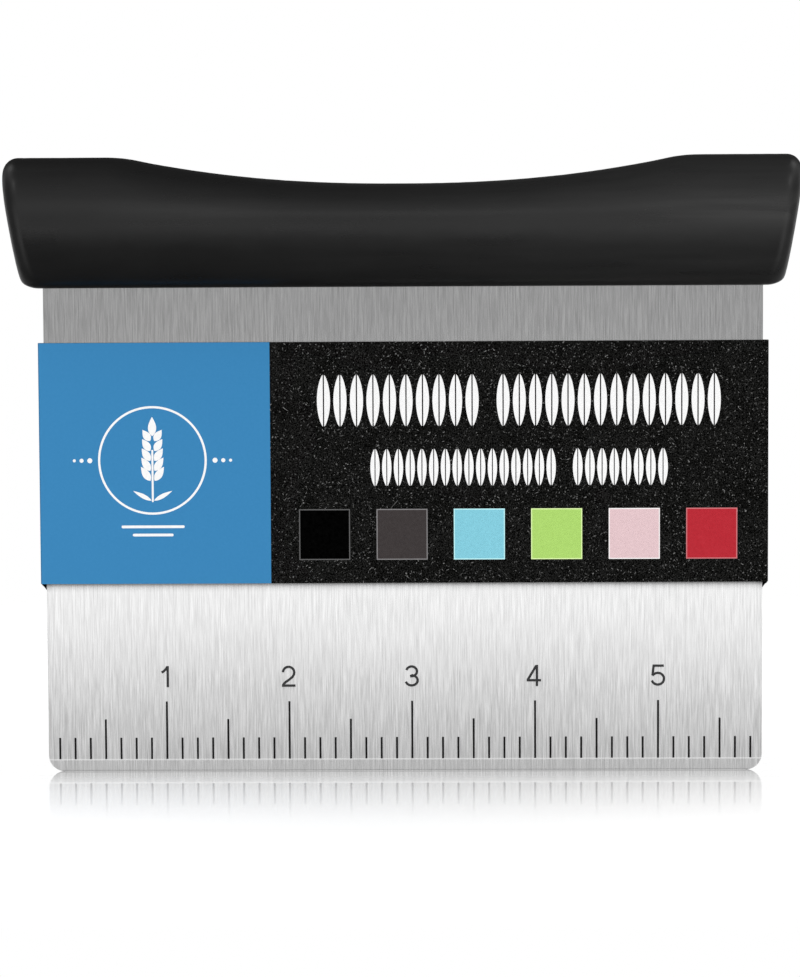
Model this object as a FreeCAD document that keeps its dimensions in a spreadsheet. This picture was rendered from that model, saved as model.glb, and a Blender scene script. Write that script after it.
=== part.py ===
import FreeCAD, Part
import Sketcher
import math
import os
from FreeCAD import Vector as V

# Bench scraper: stainless blade, riveted two-shell core, soft overmoulded grip,
# ink-filled inch ruler, and a card sleeve around the blade.
# Frame: origin at the middle of the cutting edge, +X along the edge, the ruled
# (front) face looks along -Y, +Z up to the handle. Millimetres.

DIMENSIONS = [
    # blade
    ("blade_width", 147.6), ("blade_thick", 1.0), ("tang_top", 115.5), ("tang_radius", 6.0),
    ("edge_radius", 3.3), ("bevel_height", 2.35), ("edge_land", 0.7), ("ink_depth", 0.05),
    # grip
    ("grip_bottom", 100.1), ("grip_height", 26.63), ("grip_half_thick", 12.1),
    ("grip_wide_at", 14.0), ("grip_foot_half", 4.6), ("scoop_depth", 5.6), ("scoop_half", 57.4),
    ("grip_round", 3.1), ("foot_round_part", 0.52), ("skin_thick", 2.6),
    ("end_base", 77.14), ("end_slope", 0.166),
    # rivets, and the pegs that locate the core shells
    ("rivet_radius", 2.0), ("rivet_head_radius", 3.5), ("rivet_head_thick", 1.2),
    ("rivet_seat", 6.6), ("rivet_level", 109.2), ("rivet_pitch", 46.0),
    ("peg_radius", 1.6), ("peg_length", 2.6), ("peg_clear", 0.08),
    # ruler
    ("tick_pitch", 3.175), ("tick_thick", 0.42), ("tick_foot", 2.50),
    ("tick_short", 4.48), ("tick_half", 8.32), ("tick_inch", 12.02),
    ("numeral_foot", 17.5), ("numeral_height", 4.42), ("numeral_stroke", 0.51),
    # sleeve
    ("sleeve_half", 75.0), ("sleeve_foot", 39.1), ("sleeve_top", 88.8), ("card_thick", 0.36),
    ("sleeve_gap", 0.25), ("rear_drop", 1.8), ("rear_nick", 1.3), ("nick_cut_length", 12.0),
    ("flap_lap", 9.0), ("glue_thick", 0.05),
]

doc = FreeCAD.newDocument("bench_scraper")
sheet = doc.addObject("Spreadsheet::Sheet", "dims")
for row, (alias, value) in enumerate(DIMENSIONS, start=1):
    sheet.set("A%d" % row, alias)
    sheet.set("B%d" % row, str(value))
    sheet.setAlias("B%d" % row, alias)
doc.recompute()
dim = dict(DIMENSIONS)

HALF_BLADE = dim["blade_thick"] / 2
RIVET_XS = [k * dim["rivet_pitch"] for k in (-1, 0, 1)]

# Sketch x runs along X and sketch y along Z.
UPRIGHT = FreeCAD.Rotation(V(1, 0, 0), 90)
MID_PLANE = FreeCAD.Placement(V(0, 0, 0), UPRIGHT)
FRONT_FACE = FreeCAD.Placement(V(0, -HALF_BLADE, 0), UPRIGHT)


# ---------------------------------------------------------------- 2-D curves
def polygon(points):
    """Closed loop of lines through (x, y) points."""
    corners = [V(x, y, 0) for x, y in points]
    return [Part.LineSegment(a, b) for a, b in zip(corners, corners[1:] + corners[:1])]


def rounded(points):
    """Closed loop from (x, y, radius) corners: an arc, then a line, for each corner."""
    corners = [V(x, y, 0) for x, y, _ in points]
    arcs = []
    for i, corner in enumerate(corners):
        radius = points[i][2]
        back = (corners[i - 1] - corner).normalize()
        ahead = (corners[(i + 1) % len(corners)] - corner).normalize()
        half_angle = back.getAngle(ahead) / 2
        setback = radius / math.tan(half_angle)
        middle = corner + (back + ahead).normalize() * (radius / math.sin(half_angle) - radius)
        arcs.append((corner + back * setback, middle, corner + ahead * setback))
    curves = []
    for arc, following in zip(arcs, arcs[1:] + arcs[:1]):
        curves += [Part.Arc(*arc), Part.LineSegment(arc[2], following[0])]
    return curves


def stroke(path, width):
    """Closed outline of an open centre line with square ends and mitred bends."""
    points = [V(x, y, 0) for x, y in path]
    runs = [(b - a).normalize() for a, b in zip(points, points[1:])]
    left, right = [], []
    for point, before, after in zip(points, runs[:1] + runs, runs + runs[-1:]):
        along = (before + after).normalize()
        reach = width / 2 / max(0.5, along.dot(before))
        left.append((point.x - along.y * reach, point.y + along.x * reach))
        right.append((point.x + along.y * reach, point.y - along.x * reach))
    return polygon(left + right[::-1])


def arc_points(centre_x, centre_y, radius_x, radius_y, start, end, steps):
    """Points along an elliptical arc, angles in degrees."""
    angles = [math.radians(start + (end - start) * i / steps) for i in range(steps + 1)]
    return [(centre_x + radius_x * math.cos(a), centre_y + radius_y * math.sin(a))
            for a in angles]


# ---------------------------------------------------------- document features
def bind(feature, **expressions):
    """Drive properties of a feature from the spreadsheet."""
    for property_name, expression in expressions.items():
        feature.setExpression(property_name, expression)


def sketch(name, curves, placement):
    feature = doc.addObject("Sketcher::SketchObject", name)
    feature.addGeometry(curves, False)
    feature.Placement = placement
    return feature


def extrusion(name, profile, direction, length, symmetric=False):
    """Solid extrusion; length is a spreadsheet expression."""
    feature = doc.addObject("Part::Extrusion", name)
    feature.Base = profile
    feature.DirMode = "Custom"
    feature.Dir = direction
    bind(feature, LengthFwd=length)
    feature.Solid = True
    feature.Symmetric = symmetric
    return feature


def pair(kind, name, base, tool):
    """Cut or Common of two shapes."""
    feature = doc.addObject("Part::" + kind, name)
    feature.Base = base
    feature.Tool = tool
    return feature


def fuse(name, *shapes):
    feature = doc.addObject("Part::MultiFuse", name)
    feature.Shapes = list(shapes)
    return feature


def cylinder(name, x, z, y, length, radius):
    """Cylinder along +Y from y; radius is a spreadsheet expression."""
    feature = doc.addObject("Part::Cylinder", name)
    feature.Height = length
    bind(feature, Radius=radius)
    feature.Placement = FreeCAD.Placement(V(x, y, z), FreeCAD.Rotation(V(1, 0, 0), -90))
    return feature


def box(name, corner, size, **expressions):
    feature = doc.addObject("Part::Box", name)
    feature.Length, feature.Width, feature.Height = size
    feature.Placement.Base = V(*corner)
    bind(feature, **expressions)
    return feature


def blade_box(name, bottom, height):
    """Box as wide and as thick as the blade."""
    return box(name, (-dim["blade_width"] / 2, -HALF_BLADE, bottom),
               (dim["blade_width"], dim["blade_thick"], height),
               Length="dims.blade_width", Width="dims.blade_thick")


# --------------------------------------------------------------------- blade
BEVEL_OVERCUT = 0.5  # how far the bevel profile passes the plate


def body_sketch(body, name, plane_role):
    """Sketch in a body, attached to one of its origin planes."""
    plane = next(f for f in body.Origin.OriginFeatures if f.Role == plane_role)
    feature = body.newObject("Sketcher::SketchObject", name)
    feature.AttachmentSupport = [(plane, "")]
    feature.MapMode = "FlatFace"
    return feature


def through_pocket(body, name, profile):
    feature = body.newObject("PartDesign::Pocket", name)
    feature.Profile = profile
    feature.Type = 1  # through all
    feature.Midplane = True
    return feature


def constrain_outline(outline, half_width, top):
    """Geometry: arcs 0, 2, 4, 6; lines 1 bottom, 3 right, 5 top, 7 left."""
    start, end, origin = 1, 2, (-1, 1)
    fixed = [("Tangent", i, end, (i + 1) % 8, start) for i in range(8)]
    fixed += [
        ("Horizontal", 1), ("Vertical", 3), ("Horizontal", 5), ("Vertical", 7),
        ("Equal", 0, 2), ("Equal", 4, 6),
        ("PointOnObject", 1, start, -1),
    ]
    for constraint in fixed:
        outline.addConstraint(Sketcher.Constraint(*constraint))
    driven = [
        ("width", ("DistanceX", 7, start, 3, start, 2 * half_width), "dims.blade_width"),
        ("half_width", ("DistanceX", 7, start, *origin, half_width), "dims.blade_width / 2"),
        ("height", ("DistanceY", *origin, 5, start, top), "dims.tang_top"),
        ("edge_round", ("Radius", 0, dim["edge_radius"]), "dims.edge_radius"),
        ("tang_round", ("Radius", 4, dim["tang_radius"]), "dims.tang_radius"),
    ]
    for name, constraint, expression in driven:
        index = outline.addConstraint(Sketcher.Constraint(*constraint))
        outline.renameConstraint(index, name)
        outline.setExpression("Constraints." + name, expression)


def make_blade_body():
    """Plate with rounded corners, ground edge and rivet holes."""
    body = doc.addObject("PartDesign::Body", "blade_body")
    outline = body_sketch(body, "blade_outline", "XZ_Plane")
    half_width, top = dim["blade_width"] / 2, dim["tang_top"]
    edge_radius, tang_radius = dim["edge_radius"], dim["tang_radius"]
    outline.addGeometry(rounded([
        (-half_width, 0, edge_radius), (half_width, 0, edge_radius),
        (half_width, top, tang_radius), (-half_width, top, tang_radius),
    ]), False)
    constrain_outline(outline, half_width, top)
    plate = body.newObject("PartDesign::Pad", "blade_plate")
    plate.Profile = outline
    bind(plate, Length="dims.blade_thick")
    plate.Midplane = True
    doc.recompute()

    # Bevels on both faces, straight across the blade, leaving a flat land at the edge.
    bevel = body_sketch(body, "bevel_profile", "YZ_Plane")
    land, height = dim["edge_land"] / 2, dim["bevel_height"]
    outside = HALF_BLADE + BEVEL_OVERCUT
    for side in (-1, 1):
        bevel.addGeometry(polygon([
            (side * land, 0), (side * HALF_BLADE, height), (side * outside, height),
            (side * outside, -BEVEL_OVERCUT), (side * land, -BEVEL_OVERCUT),
        ]), False)
    through_pocket(body, "edge_grind", bevel)
    doc.recompute()

    holes = body_sketch(body, "tang_hole_sketch", "XZ_Plane")
    for x in RIVET_XS:
        centre = V(x, dim["rivet_level"], 0)
        holes.addGeometry(Part.Circle(centre, V(0, 0, 1), dim["rivet_radius"]), False)
    body.Tip = through_pocket(body, "tang_holes", holes)
    doc.recompute()
    return body


blade_body = make_blade_body()

# ---------------------------------------------------- ruler ticks and numerals
TICKS_PER_INCH = 8
TICK_END = 47  # ticks are numbered 1 to 46 from the left
MIDDLE_TICK = 23.5

TOP = dim["numeral_height"]
LOW_LINE = dim["numeral_stroke"] / 2  # centre line of a stroke lying on the foot
HIGH_LINE = TOP - LOW_LINE

# Inch figure: (shift in x from its tick, stroke centre lines as (x, height) points).
FIGURES = {
    "1": (0.24, [
        [(0.0, 0.0), (0.0, TOP)],
        [(-1.27, TOP - 1.36), (-0.80, TOP - 1.08), (-0.36, TOP - 0.66), (-0.06, TOP - 0.12)],
    ]),
    "2": (-0.12, [
        arc_points(0, HIGH_LINE - 1.17, 1.17, 1.17, 178, -28, 16)
        + [(0.78, TOP - 2.36), (0.10, TOP - 2.92), (-0.62, TOP - 3.42), (-1.02, TOP - 3.80),
           (-1.20, LOW_LINE)],
        [(-1.41, LOW_LINE), (1.42, LOW_LINE)],
    ]),
    "3": (-0.08, [
        arc_points(0, HIGH_LINE - 1.02, 1.10, 1.02, 165, -76, 16)
        + [(-0.32, HIGH_LINE - 2.04)],
        [(-0.32, HIGH_LINE - 2.04)]
        + arc_points(0, LOW_LINE + 1.02, 1.24, 1.06, 84, -166, 16),
    ]),
    "4": (-0.22, [
        [(0.62, 0.0), (0.62, TOP)],
        [(-1.50, 1.22), (1.47, 1.22)],
        [(0.50, TOP - 0.16), (-1.30, 1.28)],
    ]),
    "5": (-0.03, [
        [(-0.98, HIGH_LINE), (1.22, HIGH_LINE)],
        [(-0.86, TOP - 0.02), (-1.12, TOP - 2.28)],
        [(-1.18, TOP - 2.28)]
        + arc_points(-0.02, LOW_LINE + 1.20, 1.28, 1.22, 128, -163, 18),
    ]),
}


def tick_x(number):
    return (number - MIDDLE_TICK) * dim["tick_pitch"]


def ink_fill(name, sketch_name, curves):
    """Ink running from the front face into the blade."""
    profile = sketch(sketch_name, curves, FRONT_FACE)
    return extrusion(name, profile, V(0, 1, 0), "dims.ink_depth")


def tick_group(name, numbers, height):
    curves = []
    half, foot = dim["tick_thick"] / 2, dim["tick_foot"]
    for x in map(tick_x, numbers):
        curves += polygon([(x - half, foot), (x + half, foot),
                           (x + half, foot + height), (x - half, foot + height)])
    return ink_fill(name, name + "_sketch", curves)


def numeral(label, shift, strokes):
    """One figure: overlapping strokes fused."""
    middle = tick_x(TICKS_PER_INCH * int(label)) + shift
    bars = []
    for k, path in enumerate(strokes):
        moved = [(middle + x, dim["numeral_foot"] + y) for x, y in path]
        bars.append(ink_fill("numeral_%s_bar_%d" % (label, k),
                             "numeral_%s_stroke_%d" % (label, k),
                             stroke(moved, dim["numeral_stroke"])))
    fused = fuse("numeral_%s_fill" % label, *bars)
    fused.Refine = True
    return fused


inch_ticks = tick_group("inch_tick_fill", range(8, TICK_END, TICKS_PER_INCH), dim["tick_inch"])
half_ticks = tick_group("half_inch_tick_fill", range(4, TICK_END, TICKS_PER_INCH),
                        dim["tick_half"])
eighth_ticks = tick_group("eighth_tick_fill", [n for n in range(1, TICK_END) if n % 4],
                          dim["tick_short"])
numerals = [numeral(label, *figure) for label, figure in FIGURES.items()]
doc.recompute()

ink = fuse("ink_tools", inch_ticks, half_ticks, eighth_ticks, *numerals)
blade = pair("Cut", "blade", blade_body, ink)
doc.recompute()

# ---------------------------------------------------------------- handle shape
SCOOP_POWER = 2.26
SCOOP_BLEND = 0.05  # softens the rim of the scoop
LOWER_POWER, UPPER_POWER = 0.93, 0.90  # fullness of the section below and above its widest level
QUARTER_STEPS = 9
SLANT_FROM, SLANT_OVER = 60.0, 15.0  # sections turn from upright to slanted along this run of x
SLANT_LEVEL = 12.0  # height above the grip bottom about which the end sections slant
BULGE_INSET = 11.0  # inset at which the end dome is at its full height
END_INSET_FIRST, END_INSET_STEP = 1.0, 1.35  # rings on the end, inside the rounded corner
CORNER_STEPS = 8

# x of the full-size sections, from the middle outwards
MIDDLE_STATIONS = [*range(0, 61, 4), 63.0, 66.0, 69.0, 71.6]
# distances of the last full-size sections before the rounded corner
LONG_LEAD = (2.6, 1.7, 0.8)
SHORT_LEAD = (1.2,)
LEAD_LIMIT = 72.4  # the long lead is used only when it begins beyond this x


def scoop(x):
    """Depth of the scoop below the flat top at x."""
    depth = dim["scoop_depth"] * (1.0 - (abs(x) / dim["scoop_half"]) ** SCOOP_POWER)
    return (depth + math.sqrt(depth * depth + SCOOP_BLEND)) / 2.0


def quarter(power):
    """Factors (across, up) of a quarter superellipse, from the side to the top."""
    angles = [math.radians(90.0 * i / QUARTER_STEPS) for i in range(QUARTER_STEPS + 1)]
    return [(abs(math.cos(a)) ** power, abs(math.sin(a)) ** power) for a in angles]


def section_ring(inset, top, low):
    """Closed (y, height) section, from the middle of the foot round to it again."""
    side, wide = dim["grip_half_thick"] - inset, dim["grip_wide_at"]
    foot = dim["grip_foot_half"] * side / dim["grip_half_thick"]
    half = [(foot + (side - foot) * across, wide - (wide - low) * down)
            for across, down in reversed(quarter(LOWER_POWER))]
    half += [(side * across, wide + (top - wide) * up)
             for across, up in quarter(UPPER_POWER)[1:]]
    mirrored = [(-y, z) for y, z in reversed(half[:-1])]
    return ([(0.0, low), (foot / 2, low)] + half + mirrored
            + [(-foot / 2, low), (0.0, low)])


def end_slant(x):
    """0 in the middle of the grip, blending to 1 at the right end and -1 at the left."""
    part = min(1.0, max(0.0, (abs(x) - SLANT_FROM) / SLANT_OVER))
    return math.copysign(part * part * (3 - 2 * part), x)


def chord_parameters(rows):
    """Parameters from 0 to 1, spaced by the summed distance between rows of points."""
    steps = [sum((b - a).Length for a, b in zip(row, following))
             for row, following in zip(rows, rows[1:])]
    total = sum(steps)
    parameters = [0.0]
    for step in steps:
        parameters.append(parameters[-1] + step / total)
    parameters[-1] = 1.0
    return parameters


def interpolate(lines, parameters):
    """Poles of a B-spline through each line of points, and their shared knots."""
    poles = []
    for line in lines:
        curve = Part.BSplineCurve()
        curve.interpolate(Points=line, Parameters=parameters)
        poles.append(curve.getPoles())
    return poles, curve.getKnots(), curve.getMultiplicities()


def skin_surface(rings):
    """Tensor B-spline surface: u from ring to ring, v around each ring."""
    lines = [list(line) for line in zip(*rings)]
    line_poles, u_knots, u_mults = interpolate(lines, chord_parameters(rings))
    pole_rings = [list(ring) for ring in zip(*line_poles)]
    poles, v_knots, v_mults = interpolate(pole_rings, chord_parameters(lines))
    surface = Part.BSplineSurface()
    surface.buildFromPolesMultsKnots(poles, u_mults, v_mults, u_knots, v_knots,
                                     False, False, 3, 3)
    return surface


def end_stations(inset, corner, dome, reach):
    """Sections as (x, extra inset) from the middle to the right end."""
    end_x = dim["end_base"] + dim["end_slope"] * SLANT_LEVEL - inset
    start = end_x - corner

    def bulge(extra):
        return dome * (1.0 - ((BULGE_INSET - extra) / BULGE_INSET) ** 2)

    lead = LONG_LEAD if start - LONG_LEAD[0] > LEAD_LIMIT else SHORT_LEAD
    stations = [(x, 0.0) for x in MIDDLE_STATIONS]
    stations += [(start - distance, 0.0) for distance in lead]
    for k in range(CORNER_STEPS + 1):
        angle = math.radians(90.0 * k / CORNER_STEPS)
        extra = corner * (1 - math.cos(angle))
        stations.append((start + corner * math.sin(angle) + bulge(extra), extra))
    extra = corner + END_INSET_FIRST
    while extra < reach:
        stations.append((end_x + bulge(extra), extra))
        extra += END_INSET_STEP
    return stations


def envelope(name, inset, corner, dome, reach):
    """Solid handle shape, offset inwards by inset, with rounded, slanted ends.

    corner is the radius round the ends, dome their bulge, and reach limits
    how far in the end rings go.
    """
    half = end_stations(inset, corner, dome, reach)
    rings = []
    for x, extra in [(-x, extra) for x, extra in reversed(half[1:])] + half:
        depth = inset + extra
        ring = section_ring(depth, top=dim["grip_height"] - depth - scoop(x),
                            low=inset + dim["foot_round_part"] * extra)
        lean = end_slant(x) * dim["end_slope"]
        rings.append([V(x + lean * (z - SLANT_LEVEL), y, dim["grip_bottom"] + z)
                      for y, z in ring])
    surface = skin_surface(rings)
    u_first, u_last, _, _ = surface.bounds()
    caps = [Part.Face(Part.Wire([surface.uIso(u).toShape()])) for u in (u_first, u_last)]
    shell = Part.makeShell([surface.toShape()] + caps)
    shell.sewShape()
    solid = Part.Solid(shell)
    if solid.Volume < 0:
        solid.reverse()
    feature = doc.addObject("Part::Feature", name)
    feature.Shape = solid
    return feature


grip_envelope = envelope("grip_envelope", inset=0.0, corner=dim["grip_round"], dome=0.8,
                         reach=9.2)
core_envelope = envelope("core_envelope", inset=dim["skin_thick"], corner=1.6, dome=0.0,
                         reach=4.2)
doc.recompute()

# ------------------------------------------------------- handle core and rivets
TANG_VOID_BELOW = 5.0  # start of the tang void below the grip bottom
SEAT_CUT_LENGTH = 8.0
BORE_LENGTH = 24.0
HEAD_FLAT_RADIUS, HEAD_RIM = 1.9, 0.45  # flat top and straight rim of a rivet head


def make_tang_void():
    """Space for the tang, its two top corners rounded like the blade's."""
    void = blade_box("tang_void", dim["grip_bottom"] - TANG_VOID_BELOW,
                     dim["tang_top"] - dim["grip_bottom"] + TANG_VOID_BELOW)
    doc.recompute()
    top_corners = []
    for number, edge in enumerate(void.Shape.Edges, start=1):
        bounds = edge.BoundBox
        along_y = bounds.YLength > 0.9 and bounds.ZLength < 1e-6 and bounds.XLength < 1e-6
        if along_y and bounds.ZMin > 110:
            top_corners.append((number, dim["tang_radius"], dim["tang_radius"]))
    feature = doc.addObject("Part::Fillet", "tang_void_round")
    feature.Base = void
    feature.Edges = top_corners
    doc.recompute()
    return feature


def make_seats():
    """Flat seats for the rivet heads, cut in from both faces of the core."""
    cuts = []
    for n, x in enumerate(RIVET_XS):
        for side, y in (("front", -dim["rivet_seat"] - SEAT_CUT_LENGTH),
                        ("rear", dim["rivet_seat"])):
            cuts.append(cylinder("seat_%d_%s" % (n, side), x, dim["rivet_level"], y,
                                 SEAT_CUT_LENGTH, "dims.rivet_head_radius"))
    return fuse("rivet_seats", *cuts)


def make_rivet(n, x):
    """Rivet turned about the Y direction, with a head at each end."""
    seat, head_radius = dim["rivet_seat"], dim["rivet_head_radius"]
    crown = seat + dim["rivet_head_thick"]
    rear = [(0, crown), (HEAD_FLAT_RADIUS, crown), (head_radius, seat + HEAD_RIM),
            (head_radius, seat), (dim["rivet_radius"], seat)]
    front = [(radius, -y) for radius, y in rear]
    centre = V(x, 0, dim["rivet_level"])
    profile = sketch("rivet_%d_profile" % n, polygon(front + rear[::-1]),
                     FreeCAD.Placement(centre, FreeCAD.Rotation()))
    feature = doc.addObject("Part::Revolution", "rivet_%d" % n)
    feature.Source = profile
    feature.Axis = V(0, 1, 0)
    feature.Base = centre
    feature.Angle = 360
    feature.Solid = True
    return feature


tang_void = make_tang_void()
seated_core = pair("Cut", "seated_core", core_envelope, make_seats())
bores = fuse("rivet_bores", *[
    cylinder("bore_%d" % n, x, dim["rivet_level"], -BORE_LENGTH / 2, BORE_LENGTH,
             "dims.rivet_radius") for n, x in enumerate(RIVET_XS)])
rivet_parts = [make_rivet(n, x) for n, x in enumerate(RIVET_XS)]
rivets = doc.addObject("Part::Compound", "tang_rivets")
rivets.Links = rivet_parts
doc.recompute()

# ---------------------------------------------------------------- core shells
RELIEF_SPANS = ((-70.0, -52.0), (-40.0, -6.5), (6.5, 40.0), (52.0, 70.0))  # x from, x to
RELIEF_FOOT, RELIEF_HEIGHT = 105.2, 8.4
RELIEF_DEPTH, RELIEF_OVERLAP = 5.6, 0.2  # into the shell, and back into the tang void
PEG_XS, PEG_LEVEL = (-66.0, 66.0), 119.6
PEG_ROOT = 1.0  # length of a peg on the front side of the mid plane
SOCKET_SPARE = 0.3  # extra depth of a socket


def half_core(name, side):
    """Raw half of the core, and the tool for its tang, rivets and reliefs.

    side is -1 for the front, 1 for the rear.
    """
    slab = box(name + "_half", (-100, 0.0 if side > 0 else -30.0, 90), (200, 30, 50))
    raw = pair("Common", name + "_raw", seated_core, slab)
    if side > 0:
        relief_y = HALF_BLADE - RELIEF_OVERLAP
    else:
        relief_y = -HALF_BLADE - RELIEF_DEPTH
    reliefs = [box("%s_relief_%d" % (name, k), (left, relief_y, RELIEF_FOOT),
                   (right - left, RELIEF_DEPTH + RELIEF_OVERLAP, RELIEF_HEIGHT))
               for k, (left, right) in enumerate(RELIEF_SPANS)]
    return raw, fuse(name + "_tools", tang_void, bores, *reliefs)


def peg_pair(name, length, radius):
    return [cylinder("%s_%d" % (name, n), x, PEG_LEVEL, -PEG_ROOT, length, radius)
            for n, x in enumerate(PEG_XS)]


front_raw, front_tool = half_core("core_front", -1)
rear_raw, rear_tool = half_core("core_rear", 1)
peg_span = dim["peg_length"] + PEG_ROOT

front_cut = pair("Cut", "core_front_cut", front_raw, front_tool)
pegs = peg_pair("peg", peg_span, "dims.peg_radius")
core_front = fuse("core_front_shell", front_cut, *pegs)

sockets = peg_pair("socket", peg_span + SOCKET_SPARE, "dims.peg_radius + dims.peg_clear")
rear_tools = fuse("core_rear_all_tools", rear_tool, *sockets)
core_rear = pair("Cut", "core_rear_shell", rear_raw, rear_tools)
doc.recompute()

# ---------------------------------------------------------------- soft grip
SLOT_BELOW, SLOT_HEIGHT = 3.0, 8.0  # start below the grip bottom, height

inner = fuse("grip_inner", seated_core, *rivet_parts)
hollow = pair("Cut", "grip_hollow", grip_envelope, inner)
slot = blade_box("blade_slot", dim["grip_bottom"] - SLOT_BELOW, SLOT_HEIGHT)
grip = pair("Cut", "grip_overmould", hollow, slot)
doc.recompute()

# ------------------------------------------------------------ packaging sleeve
FOLD_RADIUS, FOLD_STEPS = 0.62, 6  # of the card's centre line
TRIM_HALF = 90.0  # half width of the trimming cuts
TRIM_DEPTH = 5.0  # reach of the front trim to the front and downwards
TRIM_PAST = 0.15  # reach of the front trim behind the mid plane
NICK_PAST, NICK_BELOW = 0.02, 3.0  # reach of the nicks past the side and the rear foot
GLUE_SIDE_INSET, GLUE_END_INSET = 1.5, 3.0  # from the flap edges, from foot and top

# y of the card's centre line in the inner and outer rear flaps; the front panel is at -INNER_Y
INNER_Y = HALF_BLADE + dim["sleeve_gap"] + dim["card_thick"] / 2
OUTER_Y = INNER_Y + dim["card_thick"] + dim["glue_thick"]


def fold_path():
    """Centre line of the card in plan: inner rear flap, front panel, outer rear flap."""
    fold_x = dim["sleeve_half"] - dim["card_thick"] / 2 - FOLD_RADIUS
    # centre x, centre y and start angle of each quarter-turn fold
    folds = [(-fold_x, INNER_Y - FOLD_RADIUS, 90), (-fold_x, -INNER_Y + FOLD_RADIUS, 180),
             (fold_x, -INNER_Y + FOLD_RADIUS, 270), (fold_x, OUTER_Y - FOLD_RADIUS, 0)]
    path = [(dim["flap_lap"], INNER_Y)]
    for x, y, start in folds:
        path += arc_points(x, y, FOLD_RADIUS, FOLD_RADIUS, start, start + 90, FOLD_STEPS)
    return path + [(-dim["flap_lap"], OUTER_Y)]


def make_nick(name, side):
    """Slanting cut at a lower corner of the sleeve; side is -1 left, 1 right."""
    foot, rear_foot = dim["sleeve_foot"], dim["sleeve_foot"] - dim["rear_drop"]
    nick_x = side * (dim["sleeve_half"] - dim["rear_nick"])
    profile = sketch(name, polygon([
        (side * (dim["sleeve_half"] + NICK_PAST), foot), (nick_x, rear_foot),
        (nick_x, rear_foot - NICK_BELOW), (side * TRIM_HALF, rear_foot - NICK_BELOW),
        (side * TRIM_HALF, foot),
    ]), MID_PLANE)
    return extrusion(name + "_cut", profile, V(0, 1, 0), "dims.nick_cut_length",
                     symmetric=True)


def make_sleeve():
    """Folded card whose rear hangs lower than its front panel."""
    foot = V(0, 0, dim["sleeve_foot"] - dim["rear_drop"])
    plan = sketch("sleeve_plan", stroke(fold_path(), dim["card_thick"]),
                  FreeCAD.Placement(foot, FreeCAD.Rotation()))
    band = extrusion("sleeve_band", plan, V(0, 0, 1),
                     "dims.sleeve_top - dims.sleeve_foot + dims.rear_drop")
    front_trim = box("sleeve_front_trim",
                     (-TRIM_HALF, -TRIM_DEPTH, dim["sleeve_foot"] - TRIM_DEPTH),
                     (2 * TRIM_HALF, TRIM_DEPTH + TRIM_PAST, TRIM_DEPTH))
    trims = fuse("sleeve_trims", front_trim,
                 make_nick("sleeve_nick_left", -1), make_nick("sleeve_nick_right", 1))
    return pair("Cut", "packaging_sleeve", band, trims)


def make_glue():
    """Glue strip between the overlapping rear flaps."""
    half_width = dim["flap_lap"] - GLUE_SIDE_INSET
    height = dim["sleeve_top"] - dim["sleeve_foot"] - 2 * GLUE_END_INSET
    return box("sleeve_glue_strip",
               (-half_width, INNER_Y + dim["card_thick"] / 2,
                dim["sleeve_foot"] + GLUE_END_INSET),
               (2 * half_width, dim["glue_thick"], height),
               Width="dims.glue_thick",
               Height="dims.sleeve_top - dims.sleeve_foot - %g" % (2 * GLUE_END_INSET))


sleeve = make_sleeve()
glue = make_glue()
doc.recompute()

# --------------------------------------------------------------------- export
NODES = [
    ("blade", blade), ("core_front_shell", core_front), ("core_rear_shell", core_rear),
    ("tang_rivets", rivets), ("grip_overmould", grip), ("inch_tick_fill", inch_ticks),
    ("half_inch_tick_fill", half_ticks), ("eighth_tick_fill", eighth_ticks),
]
NODES += [("numeral_%s_fill" % label, feature) for label, feature in zip(FIGURES, numerals)]
NODES += [("packaging_sleeve", sleeve), ("sleeve_glue_strip", glue)]

for feature in doc.Objects:
    if "Invalid" in feature.State or "Error" in feature.State:
        raise RuntimeError("%s: %s" % (feature.Name, feature.State))
os.makedirs("parts", exist_ok=True)
for label, feature in NODES:
    feature.Label = label
    if feature.Shape.isNull() or not feature.Shape.isValid():
        raise RuntimeError("%s has no valid shape" % label)
    feature.Shape.exportStep("parts/%s.step" % label)
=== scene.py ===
"""A steel blade with inch marks and a rubber grip along its top, in a printed card sleeve.

The blade stands on its edge at z = 0: its width runs along X, its thickness along Y and its
height along Z. The printed face of the sleeve and the camera are on the -Y side.
"""
import math

import bmesh
import bpy
from mathutils import Matrix, Vector

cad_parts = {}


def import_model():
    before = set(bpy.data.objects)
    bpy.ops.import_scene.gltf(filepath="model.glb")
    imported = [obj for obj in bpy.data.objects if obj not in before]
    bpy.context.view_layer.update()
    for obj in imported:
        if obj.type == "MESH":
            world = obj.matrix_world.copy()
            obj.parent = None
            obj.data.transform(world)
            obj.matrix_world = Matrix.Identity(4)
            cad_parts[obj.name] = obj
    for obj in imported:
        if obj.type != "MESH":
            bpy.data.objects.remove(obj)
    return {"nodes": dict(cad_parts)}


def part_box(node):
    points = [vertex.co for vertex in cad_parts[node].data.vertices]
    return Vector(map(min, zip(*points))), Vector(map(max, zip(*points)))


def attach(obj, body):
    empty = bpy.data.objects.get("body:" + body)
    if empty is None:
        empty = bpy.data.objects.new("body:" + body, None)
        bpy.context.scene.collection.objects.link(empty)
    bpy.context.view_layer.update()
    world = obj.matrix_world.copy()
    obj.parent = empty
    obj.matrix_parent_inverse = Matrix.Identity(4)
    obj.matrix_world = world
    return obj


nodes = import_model()["nodes"]
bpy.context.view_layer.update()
scene = bpy.context.scene
scene.view_settings.view_transform = "Standard"
scene.view_settings.look = "None"

MM = 0.001
NOISE = (0.3, 0.7)      # range most noise values fall in
WHITE = (1, 1, 1, 1)


def mm(*lengths):
    """Millimetres to metres."""
    return tuple(length * MM for length in lengths)


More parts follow.
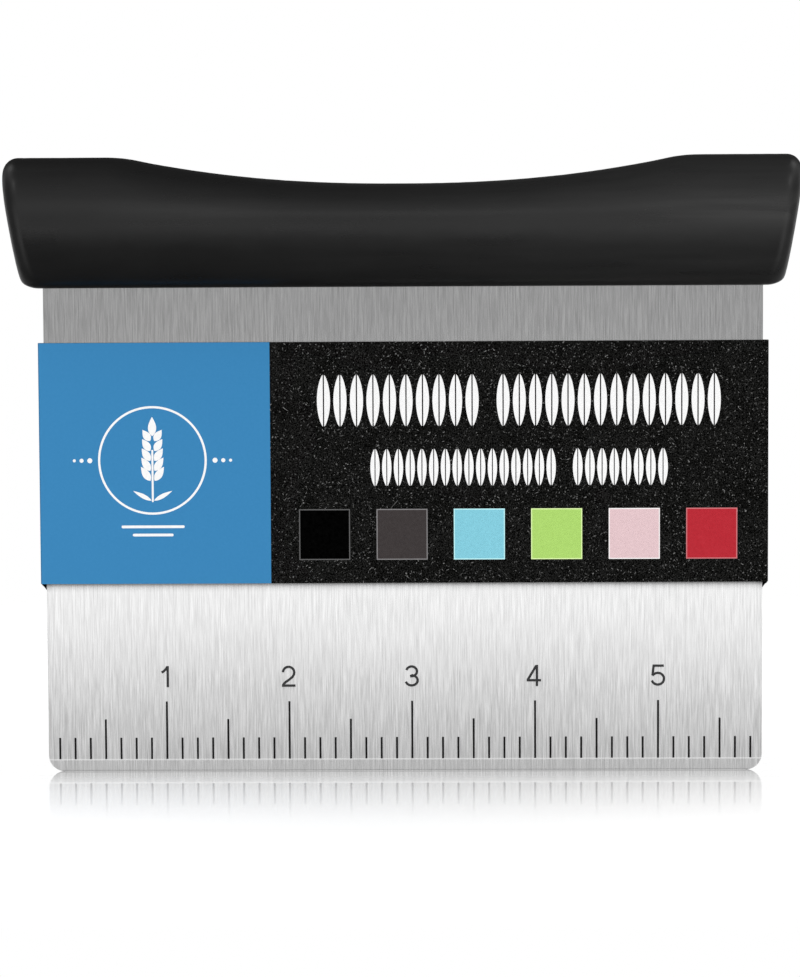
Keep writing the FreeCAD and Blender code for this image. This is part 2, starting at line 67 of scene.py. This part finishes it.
def srgb(red, green, blue):
    """0-255 display values to linear RGBA."""
    linear = []
    for level in (red, green, blue):
        level = level / 255.0
        linear.append(level / 12.92 if level <= 0.04045 else ((level + 0.055) / 1.055) ** 2.4)
    return (*linear, 1.0)


# ------------------------------------------------------------ node graph helpers
class Value:
    """An output socket. Arithmetic on it adds math nodes to its graph."""

    def __init__(self, graph, socket):
        self.graph = graph
        self.socket = socket

    def __add__(self, other):
        return self.graph.math("ADD", self, other)

    def __radd__(self, other):
        return self.graph.math("ADD", other, self)

    def __sub__(self, other):
        return self.graph.math("SUBTRACT", self, other)

    def __rsub__(self, other):
        return self.graph.math("SUBTRACT", other, self)

    def __mul__(self, other):
        return self.graph.math("MULTIPLY", self, other)

    def __truediv__(self, other):
        return self.graph.math("DIVIDE", self, other)

    def __abs__(self):
        return self.graph.math("ABSOLUTE", self)

    def fit(self, span, to=(0.0, 1.0), kind="LINEAR"):
        """Map the span onto another range, held constant outside it."""
        inputs = {"Value": self, "From Min": span[0], "From Max": span[1],
                  "To Min": to[0], "To Max": to[1]}
        return self.graph.add("MapRange", inputs, interpolation_type=kind, clamp=True)

    def ease(self, span, to=(0.0, 1.0)):
        """Like fit, with soft ends."""
        return self.fit(span, to, "SMOOTHSTEP")

    def near(self, centre, span):
        """1 around the centre, falling to 0 over a span of distances from it."""
        return 1.0 - abs(self - centre).ease(span)

    def tint(self, low, high, span=NOISE):
        """Colour that runs from low to high as the value crosses the span."""
        return self.graph.mix(self.fit(span), low, high)


class Graph:
    """Node tree of a material or world."""

    def __init__(self, owner):
        owner.use_nodes = True
        self.tree = owner.node_tree
        self.tree.nodes.clear()

    def put(self, value, socket):
        """Link a Value to the socket, or set a constant on it."""
        if isinstance(value, Value):
            self.tree.links.new(value.socket, socket)
        else:
            socket.default_value = value

    def new(self, kind, inputs=(), **props):
        node = self.tree.nodes.new("ShaderNode" + kind)
        for name, setting in props.items():
            setattr(node, name, setting)
        for key, value in dict(inputs).items():
            self.put(value, node.inputs[key])
        return node

    def out(self, node, key):
        return Value(self, node.outputs[key])

    def add(self, kind, inputs=(), output=0, **props):
        """A new node, given as one of its outputs."""
        return self.out(self.new(kind, inputs, **props), output)

    def math(self, operation, first, second=0.0):
        return self.add("Math", {0: first, 1: second}, operation=operation)

    def vector(self, operation, *vectors, output=0):
        return self.add("VectorMath", enumerate(vectors), output, operation=operation)

    def axis(self, vector):
        node = self.new("SeparateXYZ", {0: vector})
        return [self.out(node, k) for k in range(3)]

    def sideways(self, x, y):
        """How far a direction points along X, seen from above: 0 to 1."""
        flat = self.math("SQRT", x * x + (y * y + 1e-6))
        return abs(x) / flat

    def scale(self, vector, stretch=(1, 1, 1), turn=(0, 0, 0), shift=(0, 0, 0)):
        """Mapping; a single number stretches all axes alike."""
        if not isinstance(stretch, tuple):
            stretch = (stretch,) * 3
        return self.add("Mapping", {"Vector": vector, "Scale": stretch, "Rotation": turn,
                                    "Location": shift})

    def noise(self, vector, stretch, detail=2.0, rough=0.5, shift=(0, 0, 0)):
        """Noise; stretch is its frequency per metre along each axis."""
        return self.add("TexNoise", {"Vector": self.scale(vector, stretch, shift=shift),
                                     "Scale": 1.0, "Detail": detail, "Roughness": rough})

    def mix(self, factor, first, second, mode="MIX"):
        return self.add("Mix", {"Factor": factor, "A": first, "B": second}, "Result",
                        data_type="RGBA", blend_type=mode)

    def mix_shader(self, factor, first, second):
        return self.add("MixShader", {0: factor, 1: first, 2: second})

    def ramp(self, factor, stops, interpolation):
        """Grey colour ramp over (position, level) stops."""
        node = self.new("ValToRGB", {0: factor})
        colours = node.color_ramp
        colours.interpolation = interpolation
        colours.elements.remove(colours.elements[0])
        for k, (position, level) in enumerate(stops):
            stop = colours.elements.new(position) if k else colours.elements[0]
            stop.position = position
            stop.color = (level, level, level, 1)
        return self.out(node, 0)


class Material(Graph):
    """Material with a Principled shader on its surface."""

    def __init__(self, name):
        self.mat = bpy.data.materials.new(name)
        super().__init__(self.mat)
        self.end = self.new("OutputMaterial")
        self.bsdf = self.new("BsdfPrincipled")
        self.surface(self.out(self.bsdf, 0))

    def surface(self, shader):
        self.put(shader, self.end.inputs["Surface"])

    def set(self, **inputs):
        """Set shader inputs; underscores stand for the spaces in their names."""
        for name, value in inputs.items():
            self.put(value, self.bsdf.inputs[name.replace("_", " ")])

    def coords(self):
        return self.add("TexCoord", output="Object")

    def bump(self, height, distance, strength, **extra):
        inputs = {"Strength": strength, "Distance": distance, "Height": height}
        return self.add("Bump", {**inputs, **extra})


# ------------------------------------------------------------------- materials
def steel():
    """Brushed steel, with streaks that run up the blade."""
    t = Material("brushed_steel")
    place = t.coords()
    z = t.axis(place)[2]
    fine = t.noise(place, (3500, 300, 135), detail=3.0, rough=0.66)
    wide = t.noise(place, (1250, 300, 62), shift=(3.1, 0, 7.7))
    hair = t.noise(place, (6200, 300, 120), shift=(9.3, 0, 1.4))
    cloud = t.noise(place, (22, 22, 16), detail=3.0)
    dark, light = 0.80, 1.165       # streak brightness
    middle = (dark + light) / 2
    shade = (fine * 0.95 + wide * 0.05).fit(span=(0.33, 0.67), to=(dark, light))
    # streak contrast changes up the face: strong by the edge, weak in the middle
    contrast = (z.ease(span=mm(17, 25), to=(1.12, 0.76))
                + z.ease(span=mm(60, 85), to=(0.0, 0.24)))
    shade = middle + (shade - middle) * contrast
    shade = shade * cloud.fit(span=NOISE, to=(0.985, 1.015))

    # painted highlight: a bright line where the grind meets the face; the coarser ground strip
    # below it is painted a little lighter; painted shade: a dark line along the land at the very
    # edge
    line = z.near(centre=2.38 * MM, span=mm(0.10, 0.24))
    below = z.ease(span=mm(2.15, 2.35), to=(1.0, 0.0))
    painted_edge_shade = z.ease(span=mm(0.08, 0.36), to=(0.72, 1.0))
    shade = shade * (1.0 + line * 0.40 + below * 0.11)
    shade = shade * painted_edge_shade

    # soft contact shade below the edge of anything lying on the face: occlusion is
    # sampled about a normal leaned upwards, between the ground strip and the grip
    geometry = t.new("NewGeometry")
    normal = t.out(geometry, "Normal")
    leaned = t.vector("NORMALIZE", t.vector("ADD", normal, (0, 0, 1.1)))
    occlusion = t.add("AmbientOcclusion", {"Distance": 1.9 * MM, "Normal": leaned},
                      output="AO", samples=8)
    open_sky = occlusion.fit(span=(0.44, 0.905), to=(0.14, 1.0))
    where = z.fit(span=mm(2.6, 3.4)) * z.fit(span=mm(96.4, 97.4), to=(1.0, 0.0))
    shade = shade * (1.0 + (open_sky - 1.0) * where)
    grey = t.add("CombineColor", {0: shade, 1: shade, 2: shade})
    t.set(Base_Color=t.mix(1.0, (0.738, 0.738, 0.739, 1), grey, mode="MULTIPLY"),
          Metallic=1.0,
          Roughness=hair.fit(span=NOISE, to=(0.145, 0.175)) + below * 0.08,
          Anisotropic=0.92,
          Tangent=t.vector("CROSS_PRODUCT", normal, (0, 0, 1)))

    # the strip was ground on a soft belt, so its sheen turns only part of the way
    # with the bevel: normals that face mostly along Y are pulled further towards it
    ny = t.axis(normal)[1]
    pull = t.math("SIGN", ny) * abs(ny).fit(span=(0.7, 0.9), to=(0.0, 6.0))
    even = t.vector("NORMALIZE", t.vector("ADD", normal, t.add("CombineXYZ", {1: pull})))
    t.set(Normal=t.bump(fine * 0.5 + hair * 0.5, distance=0.0028 * MM, strength=0.5,
                        Normal=even))
    return t.mat


def rubber():
    """Near-black rubber with dust flecks; painted lighter towards its +X end, with painted
    highlight streaks.
    """
    t = Material("grip_rubber")
    place = t.coords()
    x, _, z = t.axis(place)
    grain = t.noise(place, 2600, rough=0.6)
    soft = t.noise(place, (70, 130, 130), detail=3.0, rough=0.55)
    flow = t.noise(place, (35, 500, 500), shift=(1.7, 0.4, 2.2))
    dust = t.add("TexVoronoi", {"Vector": t.scale(place, 420), "Scale": 1.0,
                                "Randomness": 1.0}, output="Distance")
    fleck = dust.ease(span=(0.03, 0.07), to=(1.0, 0.0))
    base = soft.tint(low=(0.0044, 0.0044, 0.0045, 1), high=(0.0060, 0.0060, 0.0060, 1))
    base = t.mix(fleck * 0.2, base, (0.016, 0.016, 0.016, 1))

    # painted light: a little lighter towards +X, in streaks
    painted_light_end = x.ease(span=mm(-60, 66)) * flow.fit(span=(0.25, 0.75), to=(0.55, 1.0))
    base = t.mix(painted_light_end * 0.80, base, (0.0175, 0.0175, 0.0173, 1))

    # painted highlight: streaks along the widest part of the grip, strongest at the +X end
    band = z.near(centre=115.4 * MM, span=mm(0.5, 4.6))
    left = x.ease(span=mm(-15, -38), to=(0.0, 0.20)) * x.ease(span=mm(-68, -50))
    ends = x.ease(span=mm(35, 78), to=(0.0, 0.78)) + left
    painted_highlight_streaks = band * ends * flow.fit(span=(0.30, 0.66), to=(0.25, 1.0))
    base = t.mix(painted_highlight_streaks, base, (0.036, 0.036, 0.0355, 1))

    # the bloomed skin keeps little sheen at a glancing angle or on its underside
    facing = t.add("LayerWeight", {"Blend": 0.5}, output="Facing")
    nz = t.axis(t.add("NewGeometry", output="Normal"))[2]
    sheen = facing.fit(span=(0.20, 0.74), to=(0.5, 0.16))
    t.set(Base_Color=base,
          Roughness=(soft.fit(span=NOISE, to=(0.27, 0.32))
                     + flow.fit(span=NOISE, to=(-0.02, 0.02))),
          Metallic=0.0, IOR=1.5,
          Specular_IOR_Level=sheen * nz.fit(span=(-0.82, -0.38), to=(0.28, 1.0)),
          Normal=t.bump(grain + flow * 0.4, distance=0.010 * MM, strength=0.6))
    return t.mat


def plain(name, dark, light, rough, grain, metallic=0.0, bump=0.008, specular=0.5):
    """Small-scale mottle; grain is its frequency per metre, bump its depth in mm."""
    t = Material(name)
    mottle = t.noise(t.coords(), grain, detail=3.0, rough=0.6)
    t.set(Base_Color=mottle.tint(low=dark, high=light), Metallic=metallic,
          Roughness=mottle.fit(span=NOISE, to=rough), Specular_IOR_Level=specular,
          Normal=t.bump(mottle, distance=bump * MM, strength=0.5))
    return t.mat


def print_ink(name, rgb):
    """Matt ink, mottled a few display levels either side of its colour."""
    spread = 3
    return plain(name, srgb(*[max(0, level - spread) for level in rgb]),
                 srgb(*[min(255, level + spread) for level in rgb]),
                 rough=(0.46, 0.56), grain=1500.0, bump=0.003, specular=0.008)


# Layers of pale fibres in the black card:
# turn about Y (rad), frequency per metre along turned X and Z, noise level where they show
FIBRES = (
    (0.15, 4300, 1180, 0.762),
    (0.9, 4700, 980, 0.765),
    (-0.75, 4600, 1040, 0.765),
    (1.9, 4300, 1250, 0.762),
    (-2.3, 3600, 2400, 0.766),
)


def card_fibres(t, place):
    fibre = None
    for k, (turn, freq_x, freq_z, cut) in enumerate(FIBRES):
        turned = t.scale(place, turn=(0, turn, 0))
        layer = t.noise(turned, (freq_x, 200, freq_z), detail=0.0,
                        shift=(3.7 * k, 0, 1.9 * k))
        layer = layer.ease(span=(cut, cut + 0.09))
        fibre = t.math("MAXIMUM", fibre, layer) if fibre else layer
    return fibre


def card():
    """Printed card: blue panel, black panel with pale fibres, black inside and cut edges."""
    t = Material("sleeve_card")
    place = t.coords()
    x, y, z = t.axis(place)
    grain = t.noise(place, 3500, detail=1.0, rough=0.6)
    grit = t.noise(place, 5200, detail=0.0, shift=(2, 6, 1))
    blotch = t.noise(place, 260, detail=3.0, rough=0.6, shift=(5, 2, 9))
    paper = t.noise(place, 1700, detail=3.0, rough=0.6)
    fibre = card_fibres(t, place) * blotch.fit(span=(0.35, 0.62), to=(0.35, 1.0))

    # black panel: grain, then grit, blotches and fibres over it
    black = grain.tint(srgb(0, 0, 0), srgb(35, 35, 34), span=(0.43, 0.66))
    black = t.mix(grit.fit(span=(0.55, 0.82), to=(0.0, 0.85)), black, srgb(56, 56, 55))
    black = t.mix(blotch.fit(span=(0.38, 0.66), to=(0.0, 0.45)), black, srgb(3, 3, 2))
    black = t.mix(fibre * 0.95, black, srgb(140, 140, 139))
    blue = paper.tint(srgb(61, 134, 186), srgb(64, 137, 189))

    # on the front, blue lies on the -X side of the split and black on the +X side
    split = x.fit(span=mm(-27.37, -27.29))
    is_front = y.fit(span=mm(-0.45, -0.40), to=(1.0, 0.0))
    outside = t.mix(is_front, black, t.mix(split, blue, black))

    # near-black board on the inside and on cut edges
    raw = paper.tint(srgb(9, 9, 9), srgb(20, 19, 18))
    _, ny, nz = t.axis(t.add("NewGeometry", output="True Normal"))
    cut_edge = abs(nz).fit(span=(0.6, 0.8))
    from_middle = y - 0.2 * MM
    facing_in = ny * t.math("SIGN", from_middle) * -1.0
    outer_flap = y.fit(span=mm(1.45, 1.50))
    inside = facing_in.fit(span=(0.5, 0.7)) * (1.0 - outer_flap)
    colour = t.mix(inside, outside, raw)
    colour = t.mix(cut_edge, colour, t.mix(0.75, outside, raw))

    # folded corners are a little darker
    fold = abs(x).ease(span=mm(74.62, 74.85), to=(0.0, 0.35))
    colour = t.mix(fold, colour, t.mix(split, srgb(20, 40, 56), srgb(7, 7, 7)))
    t.set(Base_Color=colour, Metallic=0.0, Specular_IOR_Level=0.002,
          Roughness=paper.fit(span=NOISE, to=(0.50, 0.60)),
          Normal=t.bump(paper + grain * 0.5, distance=0.006 * MM, strength=0.5))
    return t.mat


def paint(obj, mat):
    obj.data.materials.clear()
    obj.data.materials.append(mat)
    for poly in obj.data.polygons:
        poly.material_index = 0


# Each material and the CAD pieces that wear it
LOOKS = (
    (steel(), ["blade"]),
    (rubber(), ["grip_overmould"]),
    (plain("tick_ink", srgb(10, 10, 11), srgb(22, 22, 23),
           rough=(0.4, 0.55), grain=5000.0, specular=0.12),
     ["inch_tick_fill", "half_inch_tick_fill", "eighth_tick_fill"]),
    (plain("numeral_ink", srgb(49, 49, 50), srgb(65, 65, 66),
           rough=(0.4, 0.55), grain=5000.0, specular=0.12),
     ["numeral_%s_fill" % digit for digit in "12345"]),
    (plain("core_plastic", srgb(38, 38, 40), srgb(52, 52, 54),
           rough=(0.45, 0.6), grain=600.0),
     ["core_front_shell", "core_rear_shell"]),
    (plain("rivet_aluminium", (0.60, 0.60, 0.61, 1), (0.74, 0.74, 0.75, 1),
           rough=(0.28, 0.4), grain=1400.0, metallic=1.0),
     ["tang_rivets"]),
    (card(), ["packaging_sleeve"]),
    (plain("dried_glue", srgb(214, 205, 176), srgb(232, 226, 203),
           rough=(0.25, 0.4), grain=700.0),
     ["sleeve_glue_strip"]),
)
for look, pieces in LOOKS:
    for piece in pieces:
        paint(nodes[piece], look)
WHITE_INK = print_ink("white_print", (252, 252, 252))

# ------------------------------------- printed graphics: (x, z) in mm on the sleeve face
FACE_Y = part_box("packaging_sleeve")[0].y
INK = 0.02 * MM         # thickness of printed ink


def prism(bm, loop, thickness=INK, slot=0, hole=None):
    """Thin closed prism standing on the face; a hole loop has as many points as the loop."""
    def ring(points, y):
        return [bm.verts.new((px * MM, y, pz * MM)) for px, pz in points]

    def both(points):
        return ring(points, FACE_Y - thickness), ring(points, FACE_Y)

    faces = []
    top, base = both(loop)
    steps = [(k, (k + 1) % len(loop)) for k in range(len(loop))]
    if hole is None:
        faces.append(bm.faces.new(top))
        faces.append(bm.faces.new(base[::-1]))
    else:
        hole_top, hole_base = both(hole)
        for k, j in steps:
            faces.append(bm.faces.new((top[k], top[j], hole_top[j], hole_top[k])))
            faces.append(bm.faces.new((base[j], base[k], hole_base[k], hole_base[j])))
            faces.append(bm.faces.new((hole_top[k], hole_top[j], hole_base[j], hole_base[k])))
    for k, j in steps:
        faces.append(bm.faces.new((top[j], top[k], base[k], base[j])))
    for face in faces:
        face.material_index = slot


def square(x, z, half):
    return [(x - half, z - half), (x + half, z - half), (x + half, z + half), (x - half, z + half)]


def circle(x, z, radius, segments):
    angles = [2 * math.pi * k / segments for k in range(segments)]
    return [(x + radius * math.cos(a), z + radius * math.sin(a)) for a in angles]


def rounded_rect(x0, z0, x1, z1, radius, segments):
    points = []
    corners = ((x1 - radius, z0 + radius, -90), (x1 - radius, z1 - radius, 0),
               (x0 + radius, z1 - radius, 90), (x0 + radius, z0 + radius, 180))
    for x, z, start in corners:
        for k in range(segments + 1):
            angle = math.radians(start + 90.0 * k / segments)
            points.append((x + radius * math.cos(angle), z + radius * math.sin(angle)))
    return points


def finish_print(name, bm, mats):
    bmesh.ops.recalc_face_normals(bm, faces=bm.faces)
    mesh = bpy.data.meshes.new(name)
    bm.to_mesh(mesh)
    bm.free()
    obj = bpy.data.objects.new(name, mesh)
    scene.collection.objects.link(obj)
    for mat in mats:
        mesh.materials.append(mat)
    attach(obj, "sleeve")


# Row of colour squares: name, centre x, fill and rim in display RGB
SQUARES = (
    ("black", -16.25, (2, 2, 2), (97, 97, 97)),
    ("grey", -0.3, (65, 60, 60), (134, 132, 133)),
    ("blue", 15.6, (135, 207, 224), (197, 249, 254)),
    ("green", 31.5, (177, 219, 114), (228, 254, 179)),
    ("pink", 47.45, (230, 200, 204), (255, 249, 249)),
    ("red", 63.35, (187, 46, 57), (210, 122, 127)),
)
SQUARE_Z = 49.15
SQUARE_HALF = 5.25
SQUARE_RIM = 0.22


def colour_squares():
    for label, x, fill, rim in SQUARES:
        bm = bmesh.new()
        outer = square(x, SQUARE_Z, SQUARE_HALF)
        inner = square(x, SQUARE_Z, SQUARE_HALF - SQUARE_RIM)
        prism(bm, outer, thickness=INK * 1.5, hole=inner)
        prism(bm, inner, slot=1)
        mats = [print_ink("rim_" + label, rim), print_ink("fill_" + label, fill)]
        finish_print("colour_square_" + label, bm, mats)


def kernel(bm, x, z, length, width, crease):
    """One upright grain kernel: two half leaves with a crease between them."""
    steps = 14
    blunt = 0.02        # how far the crease stops short of the kernel's ends
    for side in (-1, 1):
        points = []
        for k in range(steps + 1):
            u = k / steps
            bulge = math.sin(math.pi * (0.04 + 0.92 * u)) ** 0.72
            half = crease / 2 + (width - crease) / 2 * bulge
            rise = (u - 0.5) * length * (0.93 + 0.07 * math.sin(math.pi * u))
            points.append((side * half, rise))
        points.append((side * crease / 2, 0.5 * length - blunt))
        points.append((side * crease / 2, -0.5 * length + blunt))
        prism(bm, [(x + px, z + pz) for px, pz in points])


def kernel_row(name, groups, z0, z1, crease):
    """A row of kernels in groups (x0, x1, count), standing in for a line of print."""
    bm = bmesh.new()
    for x0, x1, count in groups:
        pitch = (x1 - x0) / count
        for k in range(count):
            kernel(bm, x0 + (k + 0.5) * pitch, (z0 + z1) / 2, length=z1 - z0,
                   width=pitch * 0.80, crease=crease)
    finish_print(name, bm, [WHITE_INK])


def leaf(x, z, length, width, lean):
    """Pointed leaf growing from (x, z), leaning from upright towards +X by degrees."""
    points = []
    steps = 12
    along_x = math.sin(math.radians(lean))
    along_z = math.cos(math.radians(lean))
    for side in (1, -1):
        for k in range(steps):
            u = k / steps if side > 0 else 1 - k / steps
            half = side * width * math.sin(math.pi * u ** 0.8) * 0.5
            points.append((x + along_x * u * length + along_z * half,
                           z + along_z * u * length - along_x * half))
    return points


EMBLEM_X = -51.6
EMBLEM_Z = 64.6
RING_OUTER = 11.2
RING_INNER = 10.75
STEM_HALF = 0.2
STEM_FOOT, STEM_TOP = -8.6, 2.2         # heights from the emblem's centre
EAR_FOOT, EAR_PITCH = -4.2, 2.05        # lowest pair of leaves and step between pairs
DOTS = ((12.9, 0.52), (14.6, 0.42), (16.1, 0.32))   # distance from centre, radius
RULES = ((50.9, 6.5), (49.2, 4.2))                  # z, half length
RULE_HALF = 0.28                        # half thickness of a rule


def emblem():
    """An ear of grain inside a thin ring, dots on both sides and two short rules."""
    bm = bmesh.new()
    x, z = EMBLEM_X, EMBLEM_Z
    prism(bm, circle(x, z, RING_OUTER, 96), hole=circle(x, z, RING_INNER, 96))
    prism(bm, rounded_rect(x - STEM_HALF, z + STEM_FOOT, x + STEM_HALF, z + STEM_TOP,
                           radius=0.18, segments=3))
    for k in range(5):
        for side in (-1, 1):
            prism(bm, leaf(x + side * 0.42, z + EAR_FOOT + EAR_PITCH * k,
                           length=3.5 - 0.18 * k, width=1.55, lean=side * 34))
    prism(bm, leaf(x, z + 5.0, length=4.0, width=1.7, lean=0))
    # leaves at the foot of the stem
    for side in (-1, 1):
        prism(bm, leaf(x + side * 0.25, z - 8.3, length=4.3, width=0.9, lean=side * 62))
    for side in (-1, 1):
        for offset, radius in DOTS:
            prism(bm, circle(x + side * offset, z, radius, 24))
    for rule_z, half in RULES:
        prism(bm, rounded_rect(x - half, rule_z - RULE_HALF, x + half, rule_z + RULE_HALF,
                               radius=0.26, segments=4))
    finish_print("print_emblem", bm, [WHITE_INK])


colour_squares()
kernel_row("print_kernels_upper", [(-18.0, 15.9, 10), (18.9, 65.5, 14)],
           z0=71.4, z1=82.1, crease=0.27)
kernel_row("print_kernels_lower", [(-7.0, 31.6, 16), (34.6, 54.6, 8)],
           z0=59.1, z1=66.8, crease=0.21)
emblem()

# ---------------------------------------------------------------------- camera
ORBIT_CENTRE = Vector((0.0, 0.0, 0.064))
CAMERA_AIM = Vector((-0.0007, 0.0, 0.05852))
CAMERA_DISTANCE = 0.70
AZIMUTH = math.radians(0.88)        # from -Y towards +X
ELEVATION = math.radians(4.0)
ROLL = math.radians(-0.306)


def build_camera():
    data = bpy.data.cameras.new("camera")
    cam = bpy.data.objects.new("camera", data)
    scene.collection.objects.link(cam)
    back = Vector((math.sin(AZIMUTH) * math.cos(ELEVATION),
                   -math.cos(AZIMUTH) * math.cos(ELEVATION),
                   math.sin(ELEVATION)))
    cam.location = ORBIT_CENTRE + back * CAMERA_DISTANCE
    look = (CAMERA_AIM - cam.location).to_track_quat("-Z", "Y")
    cam.rotation_mode = "QUATERNION"
    cam.rotation_quaternion = look @ Matrix.Rotation(ROLL, 4, "Z").to_quaternion()
    data.sensor_width = 36.0
    data.lens = 125.2998976
    data.clip_start = 0.01
    data.clip_end = 20.0
    scene.camera = cam


build_camera()

# ----------------------------------------------------------------------- floor
FLOOR_RADIUS = 0.62
FLOOR_DROP = 0.00004        # how far it lies below the blade's edge
MIRROR_REACH = 70 * MM      # distance in Y at which the mirroring ends
# fraction of MIRROR_REACH, strength of the mirroring
MIRROR = (
    (0.0, 0.95), (0.07, 0.86), (0.16, 0.62), (0.257, 0.44), (0.40, 0.31),
    (0.557, 0.20), (0.686, 0.11), (0.82, 0.035), (0.93, 0.0),
)


def floor_white():
    """White, mirror-like close to the blade, clear at a distance and from below."""
    t = Material("floor_white")
    place = t.coords()
    x, y, z = t.axis(place)
    cloud = t.noise(place, 14)
    t.set(Base_Color=t.mix(cloud, (0.90, 0.90, 0.90, 1), (0.92, 0.92, 0.92, 1)),
          Roughness=0.6, Specular_IOR_Level=0.0,
          Emission_Color=WHITE, Emission_Strength=0.24)
    gloss = t.add("BsdfGlossy", {"Roughness": 0.0, "Color": WHITE})
    mirror = t.ramp(abs(y).fit(span=(0.0, MIRROR_REACH)), MIRROR, "LINEAR")
    side = abs(x).ease(span=(0.085, 0.12), to=(1.0, 0.0))
    mirrored = t.mix_shader(mirror * side, t.out(t.bsdf, 0), gloss)

    # it fades out at a distance and in front, is clear from below, and gives way
    # once the sleeve has slid down to it
    fade = t.vector("LENGTH", place, output="Value").ease(span=(0.10, 0.36), to=(1.0, 0.0))
    ahead = y.ease(span=(-0.165, -0.085))
    geometry = t.new("NewGeometry")
    above = 1.0 - t.out(geometry, "Backfacing")
    sleeve_z = t.axis(t.add("TexCoord", output="Object", object=nodes["packaging_sleeve"]))[2]
    free = sleeve_z.fit(span=(0.0345, 0.0365), to=(1.0, 0.0))
    solid = fade * ahead * (above * free)

    # seen along the blade there is next to nothing to mirror, so it turns plain white
    view_x, view_y, _ = t.axis(t.out(geometry, "Incoming"))
    along = t.sideways(view_x, view_y).ease(span=(0.80, 0.96), to=(0.0, 0.85))
    whitened = t.mix_shader(along, mirrored, t.add("Emission"))
    t.surface(t.mix_shader(solid, t.add("BsdfTransparent"), whitened))
    return t.mat


def floor():
    """Disc of rings that grow wider outwards."""
    bm = bmesh.new()
    rings, segments = 28, 96
    centre = bm.verts.new((0, 0, 0))
    inner = None
    for r in range(1, rings + 1):
        radius = FLOOR_RADIUS * (r / rings) ** 1.3
        outer = [bm.verts.new((px, py, 0)) for px, py in circle(0, 0, radius, segments)]
        for k in range(segments):
            j = (k + 1) % segments
            if inner is None:
                bm.faces.new((centre, outer[k], outer[j]))
            else:
                bm.faces.new((inner[k], outer[k], outer[j], inner[j]))
        inner = outer
    mesh = bpy.data.meshes.new("floor")
    bm.to_mesh(mesh)
    bm.free()
    obj = bpy.data.objects.new("floor", mesh)
    scene.collection.objects.link(obj)
    obj.location.z = -FLOOR_DROP
    mesh.materials.append(floor_white())
    obj.visible_glossy = False


floor()

# ----------------------------------------------------------------------- world
# Brightness that glossy surfaces see in each direction: elevation in degrees, level
FRONT = (       # towards -Y
    (-90, 0.04), (-50, 0.10), (-30, 0.12), (-20, 0.13), (-14, 0.22), (-10.8, 0.50),
    (-9.2, 0.62), (-8.1, 0.80), (-7.2, 1.12), (-6.2, 1.52), (-5.2, 1.36), (-4.3, 0.62),
    (-3.3, 0.395), (-2.2, 0.39), (-1.0, 0.39), (3, 0.46), (8, 0.72), (15, 0.80),
    (22, 0.68), (32, 0.50), (50, 0.40), (66, 0.26), (90, 0.15),
)
BACK = (        # towards +Y
    (-90, 0.05), (-45, 0.12), (-25, 0.45), (-15, 0.80), (-5, 0.85), (1, 0.30),
    (8, 0.06), (40, 0.05), (66, 0.10), (90, 0.15),
)
DIAGONAL = (    # between the Y and X directions
    (-90, 0.20), (-40, 0.50), (-15, 0.82), (-5, 0.90), (5, 0.62), (20, 0.40),
    (32, 0.44), (42, 1.00), (50, 1.50), (58, 1.10), (68, 0.34), (90, 0.20),
)
FLANK = (       # towards -X and +X
    (-90, 0.12), (-40, 0.18), (-10, 0.26), (5, 0.24), (24, 0.22), (36, 0.40),
    (48, 0.62), (60, 0.36), (74, 0.18), (90, 0.18),
)
ROOM_STRENGTH = 1.7     # the levels are stored as fractions of this


def world():
    """White studio; glossy surfaces see a softer, darker room that depends on direction."""
    studio = bpy.data.worlds.new("studio")
    scene.world = studio
    g = Graph(studio)
    end = g.new("OutputWorld")
    x, y, z = g.axis(g.add("TexCoord", output="Generated"))
    elevation = g.math("ARCSINE", z) / math.pi + 0.5    # 0 straight down, 1 straight up

    def band(stops):
        scaled = [((degrees + 90.0) / 180.0, level / ROOM_STRENGTH) for degrees, level in stops]
        return g.ramp(elevation, scaled, "EASE")

    sideways = g.sideways(x, y)
    middle = sideways.ease(span=(0.46, 0.74), to=(1.0, 0.0))
    behind = y.ease(span=(-0.10, 0.10))
    flank = sideways.ease(span=(0.76, 0.96))
    edge = g.mix(flank, band(DIAGONAL), band(FLANK))
    room = g.mix(middle, edge, g.mix(behind, band(FRONT), band(BACK)))
    glossy = g.add("Background", {"Color": room, "Strength": ROOM_STRENGTH})
    white = g.add("Background", {"Color": WHITE, "Strength": 1.0})

    # the room shows in rough reflections only, and not after a diffuse bounce
    path = g.new("LightPath")
    sheen = g.out(path, "Is Glossy Ray") * (1.0 - g.out(path, "Is Singular Ray"))
    sheen = sheen * g.math("LESS_THAN", g.out(path, "Diffuse Depth"), 0.5)
    g.put(g.mix_shader(sheen, white, glossy), end.inputs[0])


world()
